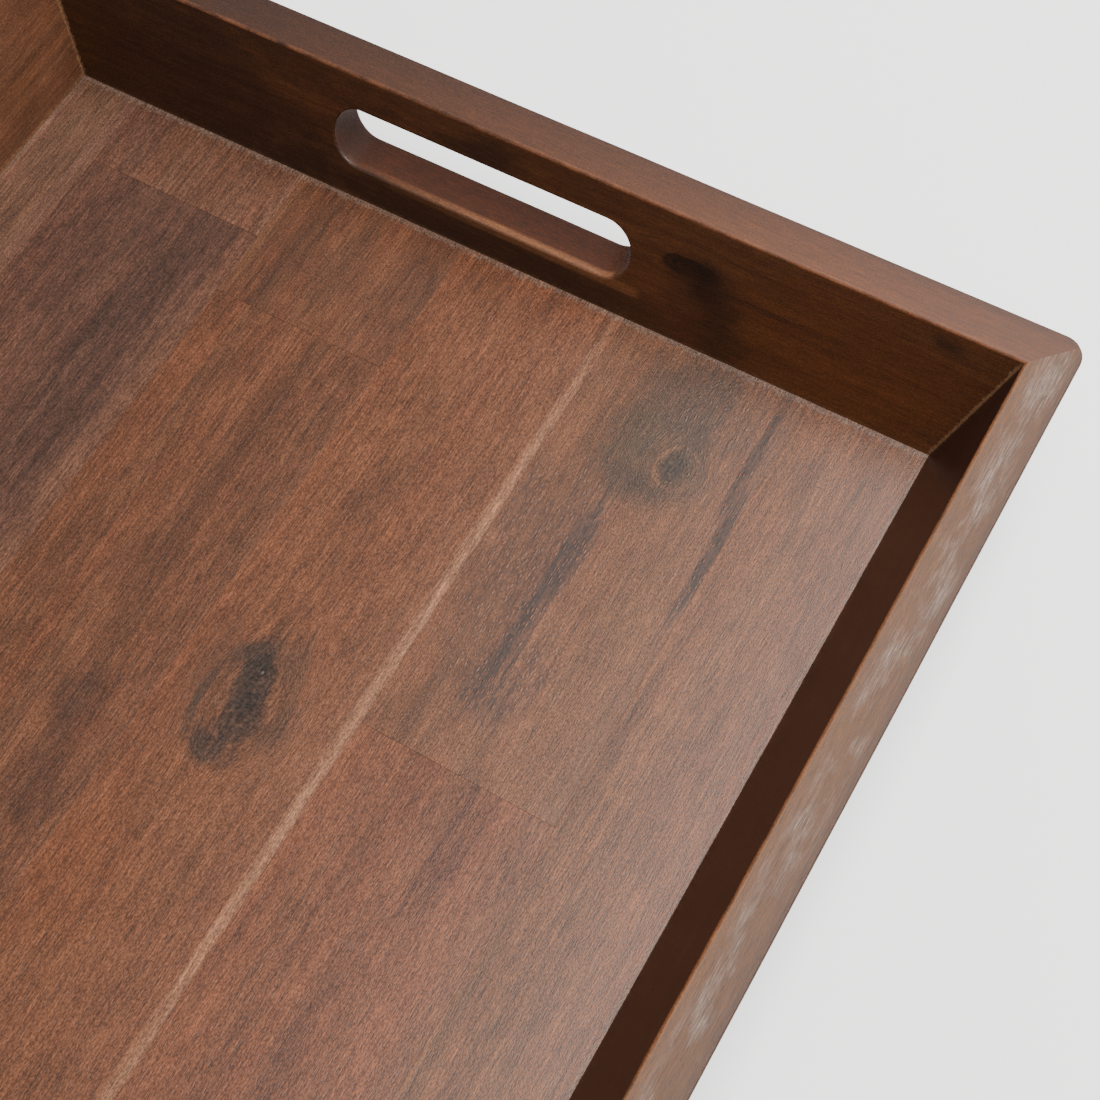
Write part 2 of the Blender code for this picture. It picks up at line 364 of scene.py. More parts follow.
def mitre_off(bm, axis_signs):
    """Keeps the part of the ring between two mitre planes and closes its ends."""
    for sign_x, sign_y, keep in axis_signs:
        corner = Vector((sign_x * HALF_WIDTH, sign_y * HALF_LENGTH, 0.0))
        normal = Vector(keep).normalized()
        everything = bm.verts[:] + bm.edges[:] + bm.faces[:]
        cut = bmesh.ops.bisect_plane(bm, geom=everything, plane_co=corner - normal * MITRE_GAP,
                                     plane_no=normal, clear_outer=True, dist=1e-7)
        edges = [g for g in cut["geom_cut"] if isinstance(g, bmesh.types.BMEdge)]
        bmesh.ops.holes_fill(bm, edges=edges, sides=0)


# ---------------------------------------------------------------- finishes

def add_node(tree, kind, inputs=None, **settings):
    """Adds a node, sets it up and wires it: an input takes a node, a socket or a value."""
    node = tree.nodes.new(kind)
    for key, value in settings.items():
        setattr(node, key, value)
    for key, value in (inputs or {}).items():
        if isinstance(value, bpy.types.Node):
            value = value.outputs[0]
        if isinstance(value, bpy.types.NodeSocket):
            tree.links.new(value, node.inputs[key])
        else:
            node.inputs[key].default_value = value
    return node


def grain_noise(tree, where, cells, low, high, detail=2.0, to=(0.0, 1.0), shift=0.0):
    """Noise with cells of so many millimetres across, along and through the grain, spread over a range."""
    scale = [1.0 / (size * MM) for size in cells]
    mapped = add_node(tree, "ShaderNodeMapping", {
        "Vector": where, "Scale": scale, "Location": (shift, shift * 0.7, shift * 1.3)})
    cloud = add_node(tree, "ShaderNodeTexNoise", {
        "Vector": mapped, "Scale": 1.0, "Detail": detail, "Roughness": 0.58})
    return add_node(tree, "ShaderNodeMapRange", {
        "Value": cloud, "From Min": low, "From Max": high, "To Min": to[0], "To Max": to[1]})


def shade(tree, colour, *gains):
    """Darkens and lightens a colour by one pattern after another."""
    for gain in gains:
        colour = add_node(tree, "ShaderNodeVectorMath", {0: colour, "Scale": gain}, operation="SCALE")
    return colour


def together(tree, *masks):
    """One mask that is only strong where every mask, or plain strength, is."""
    amount = masks[0]
    for mask in masks[1:]:
        amount = add_node(tree, "ShaderNodeMath", {0: amount, 1: mask}, operation="MULTIPLY")
    return amount


def band(tree, value, start, end, soft):
    """1 where a distance lies between two bounds in millimetres, fading over a soft width."""
    rise = add_node(tree, "ShaderNodeMapRange", {
        "Value": value, "From Min": (start - soft) * MM, "From Max": (start + soft) * MM})
    fall = add_node(tree, "ShaderNodeMapRange", {
        "Value": value, "From Min": (end - soft) * MM, "From Max": (end + soft) * MM,
        "To Min": 1.0, "To Max": 0.0})
    return together(tree, rise, fall)


def reach_from(tree, where, at, size, ragged=None, rag=0.0):
    """How far a point lies from an ellipse's middle, where 1 is the ellipse itself."""
    mapped = add_node(tree, "ShaderNodeMapping", {
        "Vector": where,
        "Scale": (1.0 / (size[0] * MM), 1.0 / (size[1] * MM), 0.0),
        "Location": (-at[0] / size[0], -at[1] / size[1], 0.0)})
    reach = add_node(tree, "ShaderNodeVectorMath", {0: mapped}, operation="LENGTH").outputs["Value"]
    if ragged is not None:
        uneven = add_node(tree, "ShaderNodeMath", {0: ragged, 1: 0.5}, operation="SUBTRACT")
        reach = add_node(tree, "ShaderNodeMath", {0: uneven, 1: rag, 2: reach}, operation="MULTIPLY_ADD")
    return reach


def inside(tree, reach, soft):
    """1 within an ellipse, 0 outside it, fading over a soft share of its size."""
    return add_node(tree, "ShaderNodeMapRange", {
        "Value": reach, "From Min": 1.0 - soft, "From Max": 1.0 + soft, "To Min": 1.0, "To Max": 0.0},
        interpolation_type="SMOOTHSTEP")


class Mark(NamedTuple):
    """Something a board shows: its middle and radii in millimetres, across and along the grain."""
    at: tuple
    size: tuple
    colour: str
    strength: float
    kind: str = "cloud"


def tinted(tone, gains):
    """A tone with its red, green and blue multiplied, and full alpha."""
    return (*(min(1.0, value * gain) for value, gain in zip(tone, gains)), 1.0)


class Wood:
    """Acacia under a dark wiping stain and satin lacquer. It is sanded flat before the stain goes on, so
    the grain is colour first and relief second: hair lines, open pores that hold the stain, and a
    fine grit in the thin lacquer that sparkles where the light catches it. Real pores are about
    0.2 mm wide and the grit is finer than 0.1 mm. Both are drawn two to four times as coarse, because
    they would not show otherwise."""

    def __init__(self, name, tone, seed, order="XYZ", marks=(), figure=1.0):
        self.material = bpy.data.materials.new(name)
        self.material.use_nodes = True
        self.tree = tree = self.material.node_tree
        self.shader = tree.nodes["Principled BSDF"]
        self.object_place = add_node(tree, "ShaderNodeTexCoord").outputs["Object"]
        self.place = self.object_place
        if order != "XYZ":
            parts = add_node(tree, "ShaderNodeSeparateXYZ", {0: self.place})
            self.place = add_node(tree, "ShaderNodeCombineXYZ", {
                index: parts.outputs[axis] for index, axis in enumerate(order)}).outputs[0]
        seeded = (seed * 0.37, seed * 0.91, seed * 0.53)
        shifted = add_node(tree, "ShaderNodeVectorMath", {0: self.place, 1: seeded}, operation="ADD")
        self.bent = self.bend(shifted, [mark for mark in marks if mark.kind == "knot"])
        grain = add_node(tree, "ShaderNodeVectorMath", {0: self.bent, 1: seeded}, operation="ADD")
        self.streaks = grain_noise(tree, grain, (3.4, 110, 3.4), 0.28, 0.72, 4.0, shift=3.1)
        self.lines = grain_noise(tree, grain, (0.8, 24, 0.8), 0.28, 0.72, 3.0, shift=7.7)
        self.hairs = grain_noise(tree, grain, (0.34, 6.5, 0.34), 0.28, 0.72, 1.0, shift=9.4)
        self.mottle = grain_noise(tree, shifted, (11, 19, 11), 0.28, 0.72, 3.0, shift=1.9)
        self.grit = grain_noise(tree, grain, (0.36, 0.85, 0.36), 0.32, 0.78, 1.0, shift=23.0)
        self.lumps, self.painted_bead_shade = self.fibres(grain)
        broad = grain_noise(tree, grain, (17, 260, 17), 0.30, 0.70, 2.0)
        warmth = grain_noise(tree, grain, (8, 120, 8), 0.30, 0.70, 3.0, shift=43.0)
        self.colour = add_node(tree, "ShaderNodeMixRGB", {
            "Fac": broad, "Color1": tinted(tone, DEEPER), "Color2": tinted(tone, PALER)})
        cast = add_node(tree, "ShaderNodeMixRGB", {
            "Fac": warmth, "Color1": tinted(tone, GREYER), "Color2": tinted(tone, REDDER)})
        self.lay(cast, 0.5)
        self.gain(self.streaks, 0.17 * figure)
        self.gain(self.lines, 0.12 * figure)
        self.gain(self.mottle, 0.17)
        self.raised = 0.0
        self.rubbed = 0.0
        for mark in marks:
            self.lay_mark(mark)

    def bend(self, shifted, knots):
        """Places read along grain that long slow waves bend a little, and that parts round each knot."""
        tree = self.tree
        waves = grain_noise(tree, shifted, (40, 190, 40), 0.25, 0.75, 1.0, (-1.6 * MM, 1.6 * MM))
        aside = add_node(tree, "ShaderNodeCombineXYZ", {"X": waves})
        bent = add_node(tree, "ShaderNodeVectorMath", {0: self.place, 1: aside}, operation="ADD")
        for knot in knots:
            around = (knot.size[0] * 2.4, knot.size[1] * 1.8)
            near = inside(tree, reach_from(tree, self.place, knot.at, around), 0.8)
            back = add_node(tree, "ShaderNodeVectorMath", {
                0: (knot.at[0] * MM, 0.0, 0.0), 1: bent}, operation="SUBTRACT")
            sideways = add_node(tree, "ShaderNodeVectorMath", {
                0: back, 1: (0.5, 0.0, 0.0)}, operation="MULTIPLY")
            bent = add_node(tree, "ShaderNodeVectorMath", {
                0: bent, 1: shade(tree, sideways, near)}, operation="ADD")
        return bent

    def fibres(self, grain):
        """Raised fibres stand up as scattered beads, each with painted shade lying darker round it. They are
        thinner than a hair, and are drawn as beads 0.9 mm apart so that they show."""
        tree = self.tree
        cells = add_node(tree, "ShaderNodeMapping", {
            "Vector": grain, "Scale": [1.0 / (size * MM) for size in (0.9, 2.2, 0.9)]})
        beads = add_node(tree, "ShaderNodeTexVoronoi", {"Vector": cells, "Scale": 1.0})
        chance = add_node(tree, "ShaderNodeSeparateXYZ", {0: beads.outputs["Color"]})
        chosen = add_node(tree, "ShaderNodeMath", {0: chance.outputs["X"], 1: 0.42}, operation="GREATER_THAN")
        crown = add_node(tree, "ShaderNodeMapRange", {
            "Value": beads.outputs["Distance"], "From Min": 0.12, "From Max": 0.36,
            "To Min": 1.0, "To Max": 0.0})
        bead_shade = add_node(tree, "ShaderNodeMapRange", {
            "Value": beads.outputs["Distance"], "From Min": 0.27, "From Max": 0.46})
        return together(tree, crown, chosen), together(tree, bead_shade, chosen)

    def gain(self, pattern, amount):
        """Lets a pattern darken and lighten the wood by a share of its tone."""
        level = add_node(self.tree, "ShaderNodeMath", {
            0: pattern, 1: 2.0 * amount, 2: 1.0 - amount}, operation="MULTIPLY_ADD")
        self.colour = shade(self.tree, self.colour, level)

    def lay(self, over, *masks):
        """Covers the wood with a colour, as far as all the masks let it."""
        self.colour = add_node(self.tree, "ShaderNodeMixRGB", {
            "Fac": together(self.tree, *masks), "Color1": self.colour, "Color2": over})

    def lay_mark(self, mark):
        """Draws one of the board's own marks."""
        tree = self.tree
        if mark.kind == "raised":
            # Grain that stands up under the lacquer without a change in its own colour
            mask = inside(tree, reach_from(tree, self.bent, mark.at, mark.size, self.lines, 0.8), 0.6)
            raise_by = together(tree, mask, mark.strength)
            self.raised = add_node(tree, "ShaderNodeMath", {
                0: raise_by, 1: self.raised}, operation="MAXIMUM")
            return
        if mark.kind == "strip":
            # Follows the board's edge: sapwood or a darker year's growth along a glue line
            mask = inside(tree, reach_from(tree, self.place, mark.at, mark.size, self.streaks, 0.5), 0.45)
            texture = grain_noise(
                tree, self.place, (1.1, 34, 1.1), 0.3, 0.7, 3.0, (0.25, 1.0), mark.at[1])
        elif mark.kind == "streak":
            mask = inside(tree, reach_from(tree, self.bent, mark.at, mark.size, self.streaks, 0.9), 0.6)
            texture = add_node(tree, "ShaderNodeMapRange", {
                "Value": self.streaks, "To Min": 1.0, "To Max": 0.45})
        elif mark.kind == "rough":
            # Torn grain: its fibres stand up, and the darkening between them is partly stain and partly
            # painted shade
            mask = inside(tree, reach_from(tree, self.bent, mark.at, mark.size, self.lines, 0.9), 0.5)
            texture = add_node(tree, "ShaderNodeMapRange", {
                "Value": self.lumps, "To Min": 0.9, "To Max": 0.2})
            self.raised = add_node(tree, "ShaderNodeMath", {0: mask, 1: self.raised}, operation="MAXIMUM")
        elif mark.kind == "knot":
            reach = reach_from(tree, self.place, mark.at, mark.size, self.mottle, 0.7)
            mask = inside(tree, reach, 0.30)
            turns = add_node(tree, "ShaderNodeMath", {0: reach, 1: 16.0}, operation="MULTIPLY")
            rings = add_node(tree, "ShaderNodeMath", {0: turns}, operation="SINE")
            texture = add_node(tree, "ShaderNodeMath", {
                0: rings, 1: 0.13, 2: 0.87}, operation="MULTIPLY_ADD")
        elif mark.kind == "ring":
            # A year ring that shows light round a knot
            reach = reach_from(tree, self.place, mark.at, mark.size, self.mottle, 0.35)
            rise = add_node(tree, "ShaderNodeMapRange", {"Value": reach, "From Min": 0.84, "From Max": 0.98})
            fall = add_node(tree, "ShaderNodeMapRange", {
                "Value": reach, "From Min": 1.02, "From Max": 1.16, "To Min": 1.0, "To Max": 0.0})
            mask = together(tree, rise, fall)
            texture = self.mottle
        else:
            mask = inside(tree, reach_from(tree, self.bent, mark.at, mark.size, self.mottle, 1.1), 0.62)
            texture = add_node(tree, "ShaderNodeMapRange", {
                "Value": self.mottle, "To Min": 0.55, "To Max": 1.0})
        self.lay(linear(mark.colour), mask, texture, mark.strength)

    def seal(self, roughness=0.38, specks=0.46):
        """Opens the pores, lays the grit over everything and lacquers it."""
        tree = self.tree
        colours = bpy.context.scene.tray_colours
        pore = grain_noise(tree, self.place, (0.42, 3.6, 0.42), 0.665, 0.72, 1.0, shift=11.3)
        region = add_node(tree, "ShaderNodeMapRange", {
            "Value": self.streaks, "To Min": 1.0, "To Max": 0.25})
        open_pore = together(tree, pore, region, 0.5)
        self.gain(self.hairs, 0.85 * specks)
        self.gain(self.lines, 0.3 * specks)
        # The grit's few lighter specks in the wood's colour are painted glints; its darker specks are grit
        self.gain(self.grit, specks)
        # Painted shade round the raised fibres, in the pores' colour
        self.lay(colours.pore, self.painted_bead_shade, self.raised, 0.48)
        self.lay(colours.pore, open_pore)
        tree.links.new(self.colour.outputs[0], self.shader.inputs["Base Color"])
        # The lacquer is dullest where it is rubbed through or lies over raised fibres
        gloss = add_node(tree, "ShaderNodeMath", {
            0: self.grit, 1: 0.10, 2: roughness - 0.05}, operation="MULTIPLY_ADD")
        for patch, rise in ((self.rubbed, 0.20), (self.raised, 0.12)):
            gloss = add_node(tree, "ShaderNodeMath", {0: patch, 1: rise, 2: gloss}, operation="MULTIPLY_ADD")
        tree.links.new(gloss.outputs[0], self.shader.inputs["Roughness"])
        self.shader.inputs["IOR"].default_value = LACQUER_IOR
        height = add_node(tree, "ShaderNodeMath", {0: self.hairs, 1: 0.25}, operation="MULTIPLY")
        fibres = together(tree, self.lumps, self.raised)
        for pattern, rise in ((open_pore, -0.9), (self.grit, 0.5), (fibres, 3.0)):
            height = add_node(tree, "ShaderNodeMath", {
                0: pattern, 1: rise, 2: height}, operation="MULTIPLY_ADD")
        bump = add_node(tree, "ShaderNodeBump", {"Height": height, "Strength": 0.6, "Distance": 0.07 * MM})
        tree.links.new(bump.outputs[0], self.shader.inputs["Normal"])
        return self.material


# The staves row by row from the left rail, each from the back: the stained tone and the marks.
# Marks are placed in millimetres across and along the tray.
STAVES = {
    "floor_row1_stave1": ("#5F402E", (
        Mark((-141.0, 110.0), (4.0, 90.0), "#37241F", 0.65, "streak"),
        Mark((-132.0, 150.0), (3.6, 110.0), "#6A473A", 0.60, "strip"),
        Mark((-151.5, 160.0), (0.5, 70.0), "#8B5645", 0.55, "strip"),
        Mark((-149.4, 150.0), (0.35, 66.0), "#815040", 0.45, "strip"),
    )),
    "floor_row1_stave2": ("#4F332B", (
        Mark((-137.0, -60.0), (4.0, 60.0), "#342324", 0.5, "streak"),
        Mark((-146.0, -150.0), (3.0, 50.0), "#6A473A", 0.4, "strip"),
    )),
    "floor_row2_stave1": ("#613E2C", (
        Mark((-122.0, 214.0), (8.0, 20.0), "#412C27", 0.40),
        Mark((-65.2, 212.0), (1.3, 24.0), "#7E5643", 0.50, "strip"),
    )),
    "floor_row2_stave2": ("#543527", (
        Mark((-82.0, 150.0), (10.0, 62.0), "#312019", 0.60, "streak"),
        Mark((-112.0, 170.0), (9.0, 40.0), "#37241C", 0.35),
        Mark((-66.6, 70.0), (4.4, 110.0), "#704934", 0.75, "strip"),
    )),
    "floor_row2_stave3": ("#5D3C2D", (
        Mark((-100.0, -130.0), (7.0, 10.0), "#281F1E", 0.75, "knot"),
        Mark((-84.0, -120.0), (7.0, 60.0), "#412B25", 0.45, "streak"),
    )),
    "floor_row3_stave1": ("#5E3823", (
        Mark((-63.2, 200.0), (1.9, 34.0), "#704930", 0.60, "strip"),
        Mark((-48.0, 200.0), (6.0, 40.0), "#3E271A", 0.45, "streak"),
        Mark((-8.0, 206.0), (7.0, 14.0), "#3F291D", 0.45),
        Mark((-33.0, 196.0), (9.0, 14.0), "#432C1E", 0.25),
    )),
    "floor_row3_stave2": ("#5E3823", (
        Mark((-25.0, 100.0), (6.0, 90.0), "#3B2417", 0.30, "streak"),
        Mark((-20.0, 44.0), (6.0, 13.0), "#332117", 0.60),
        Mark((-15.0, 20.0), (8.0, 11.0), "#332117", 0.50),
        Mark((-12.0, 91.0), (0.6, 2.2), "#1E0F07", 0.85, "strip"),
        Mark((-50.0, 60.0), (7.0, 50.0), "#3E2618", 0.25, "streak"),
    )),
    "floor_row3_stave3": ("#54311C", (
        Mark((-30.0, -160.0), (6.0, 50.0), "#3A2317", 0.45, "streak"),
    )),
    "floor_row4_stave1": ("#673C24", (
        Mark((24.0, 60.0), (26.0, 200.0), "#643A20", 0.35),
        Mark((46.0, 40.0), (6.0, 200.0), "#6E4229", 0.45, "strip"),
        Mark((51.2, 60.0), (1.9, 190.0), "#97684B", 0.95, "strip"),
        Mark((20.0, 138.0), (7.0, 16.0), "#3F2314", 0.40),
        Mark((10.0, 4.0), (16.0, 20.0), "#6A3516", 0.40),
        Mark((3.0, 70.0), (7.0, 24.0), "#442615", 0.40),
        Mark((21.0, 65.5), (11.0, 18.0), "#432C1C", 0.55),
        Mark((25.0, 84.0), (4.2, 6.0), "#3A281B", 0.50),
        Mark((29.0, 76.0), (2.4, 7.0), "#3E2A1C", 0.40),
        Mark((30.0, 62.5), (2.4, 5.0), "#3A271A", 0.60),
        Mark((18.0, 80.5), (4.6, 6.4), "#2A2018", 0.90),
        Mark((13.2, 61.0), (2.0, 8.0), "#33261C", 0.80),
        Mark((20.6, 49.8), (6.0, 4.4), "#2A2019", 0.90),
        Mark((20.2, 72.5), (4.7, 8.6), "#251C16", 0.80, "knot"),
        Mark((23.4, 62.0), (5.2, 8.2), "#281E18", 0.80, "knot"),
        Mark((22.4, 66.5), (0.4, 0.8), "#0E0805", 0.9, "strip"),
        # A tiny pale grey dot in the knot: a painted glint
        Mark((21.0, 76.0), (0.3, 0.5), "#8F8A84", 0.6, "strip"),
    )),
    "floor_row4_stave2": ("#59311A", (
        Mark((30.0, -170.0), (6.0, 50.0), "#3C2213", 0.45, "streak"),
        Mark((49.6, -160.0), (1.9, 60.0), "#7F5130", 0.60, "strip"),
    )),
    "floor_row5_stave1": ("#683F26", (
        Mark((66.0, 150.0), (12.0, 60.0), "#4F2F1B", 0.30),
        Mark((86.0, 212.0), (15.0, 20.0), "#3A2A1E", 0.85),
        Mark((78.0, 190.0), (8.0, 12.0), "#40301F", 0.80),
        Mark((90.0, 187.0), (11.0, 13.0), "#41301F", 0.75),
        Mark((84.0, 176.5), (9.0, 5.0), "#332519", 0.90),
        Mark((66.0, 190.0), (5.0, 14.0), "#452E1B", 0.40),
        Mark((91.3, 186.8), (6.2, 7.0), "#7C5034", 0.70, "ring"),
        Mark((92.0, 187.0), (8.8, 9.6), "#5E3B27", 0.40, "ring"),
        Mark((90.0, 186.5), (3.6, 4.6), "#33251A", 0.85, "knot"),
        Mark((89.5, 186.7), (0.7, 1.0), "#120B07", 0.80, "strip"),
        Mark((79.0, 150.0), (3.4, 18.0), "#33221A", 0.70, "rough"),
        Mark((77.8, 122.0), (3.6, 17.0), "#302018", 0.75, "rough"),
        Mark((80.0, 103.0), (8.0, 10.0), "#402817", 0.40, "rough"),
        Mark((70.0, 138.0), (15.0, 36.0), "#000000", 0.55, "raised"),
        Mark((58.0, 150.0), (5.0, 20.0), "#000000", 0.80, "raised"),
        Mark((96.0, 205.0), (12.0, 22.0), "#000000", 0.45, "raised"),
        Mark((86.0, 112.0), (8.0, 14.0), "#000000", 0.70, "raised"),
        Mark((109.6, 200.0), (1.7, 22.0), "#2E1C12", 0.80, "rough"),
        Mark((112.6, 168.0), (1.5, 20.0), "#2E1C12", 0.80, "rough"),
        Mark((64.5, 84.0), (1.8, 10.0), "#392113", 0.50, "streak"),
        Mark((103.0, 120.0), (9.0, 50.0), "#6D4325", 0.35),
    )),
    "floor_row5_stave2": ("#693B22", (
        Mark((93.0, 56.0), (4.6, 22.0), "#452313", 0.50, "streak"),
        Mark((103.0, 20.0), (5.0, 44.0), "#794427", 0.50),
        Mark((86.0, -10.0), (2.4, 24.0), "#402113", 0.55, "streak"),
    )),
    "floor_row5_stave3": ("#5D301A", (
        Mark((80.0, -190.0), (6.0, 40.0), "#422212", 0.45, "streak"),
    )),
    "floor_row6_stave1": ("#6A3E22", (
        Mark((118.0, 60.0), (2.8, 110.0), "#442A18", 0.55, "strip"),
        Mark((134.0, 60.0), (4.0, 120.0), "#58331B", 0.25, "streak"),
        Mark((151.0, 120.0), (2.0, 110.0), "#783D1E", 0.50, "strip"),
    )),
    "floor_row6_stave2": ("#63381D", (
        Mark((128.0, -150.0), (5.0, 60.0), "#442715", 0.45, "streak"),
    )),
}


class RailLook(NamedTuple):
    """How one rail is finished: the tones of its faces and its rim, its outward direction, the axes that
    run up and along it, its marks up and along it, how its rim's tone fades from one end to the
    other as painted sheen, and how much painted sheen its rim shows in milky patches."""
    tone: str
    rim_tone: str
    outward: tuple
    order: str
    marks: tuple
    rim_sheen_fade: tuple = (1.0, 1.0)
    painted_sheen: float = 0.2


RAILS = {
    "end_rail_back": RailLook("#4A2913", "#4B260C", (0, 1, 0), "ZXY", (
        Mark((15.0, -6.0), (9.0, 74.0), "#120905", 0.80),
        Mark((30.0, 118.0), (20.0, 44.0), "#5A2E12", 0.55),
        Mark((30.0, 76.0), (11.0, 10.0), "#150C07", 0.85),
        Mark((36.6, 70.0), (2.8, 8.5), "#030202", 1.0, "knot"),
        Mark((31.5, 76.0), (5.5, 4.5), "#040302", 1.0),
        Mark((25.0, 81.0), (6.0, 4.2), "#060402", 1.0),
        Mark((19.0, 86.0), (6.0, 5.0), "#120A06", 0.85),
        Mark((33.0, 90.0), (0.9, 20.0), "#1C1109", 0.75, "strip"),
        Mark((29.6, 116.0), (0.7, 24.0), "#22140A", 0.55, "strip"),
        Mark((47.5, 147.0), (3.2, 6.0), "#1D120A", 0.70),
        Mark((45.5, -2.5), (4.5, 11.0), "#100906", 0.75),
        Mark((24.0, 120.0), (12.0, 60.0), "#542D15", 0.50),
        # A broad darkening over the left end of the back rail
        Mark((30.0, -116.0), (30.0, 60.0), "#1F100A", 0.80),
    ), (0.48, 1.30), 0.0),
    "end_rail_front": RailLook("#452513", "#4B2814", (0, -1, 0), "ZXY", (
        Mark((24.0, -70.0), (10.0, 60.0), "#542D15", 0.45),
        Mark((30.0, 120.0), (18.0, 40.0), "#27150C", 0.45),
    )),
    "side_rail_left": RailLook("#623E2A", "#63412C", (-1, 0, 0), "ZYX", (
        Mark((28.0, 120.0), (9.0, 60.0), "#664028", 0.45),
        Mark((15.0, 150.0), (5.0, 60.0), "#3D251A", 0.50),
    )),
    # Its faces are far darker than its rim and the other rails: painted shade on faces turned from the key
    # light
    "side_rail_right": RailLook("#250F0B", "#5C381A", (1, 0, 0), "ZYX", (
        Mark((34.0, 195.0), (30.0, 60.0), "#331B10", 0.65),
        Mark((24.0, 70.0), (7.0, 90.0), "#1B0C07", 0.50),
    ), painted_sheen=0.85),
}


def stave_board(name, sizes):
    """A floor stave grown into its glue lines, with its edges just softened."""
    low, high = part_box(name)
    low, high = low.copy(), high.copy()
    for axis, close in ((0, sizes.side_close), (1, sizes.end_close)):
        if low[axis] > FLOOR_LOW[axis] + 1 * MM:
            low[axis] -= close
        if high[axis] < FLOOR_HIGH[axis] - 1 * MM:
            high[axis] += close
    bm = box_bmesh(low, high)
    bevel_edges(bm, bm.edges[:], sizes.arris, 2)
    return bm


def stave_finish(name, index):
    """One stave's own board, with the dust and wear that gather where it meets the rails."""
    tone, marks = STAVES[name]
    wood = Wood(f"acacia_stained_{name}", linear(tone), FIRST_STAVE_SEED + index, marks=marks)
    tree = wood.tree
    colours = bpy.context.scene.tray_colours
    parts = add_node(tree, "ShaderNodeSeparateXYZ", {0: wood.object_place})
    ragged = grain_noise(
        tree, wood.object_place, (1.6, 1.6, 1.6), 0.35, 0.65, 3.0, (-0.9 * MM, 0.9 * MM), 4.4)
    for axis, half, worn, width in (("Y", HALF_LENGTH, 0.75, 1.7), ("X", HALF_WIDTH, 0.45, 1.1)):
        away = add_node(tree, "ShaderNodeMath", {0: parts.outputs[axis]}, operation="ABSOLUTE")
        gap = add_node(tree, "ShaderNodeMath", {0: half, 1: away}, operation="SUBTRACT")
        uneven = add_node(tree, "ShaderNodeMath", {0: gap, 1: ragged}, operation="ADD")
        at_wall = band(tree, uneven, -BEYOND, width, 0.5)
        speckled = add_node(tree, "ShaderNodeMapRange", {"Value": wood.grit, "To Min": 0.35, "To Max": 1.0})
        wood.lay(colours.dust, at_wall, speckled, worn)
    return wood.seal()


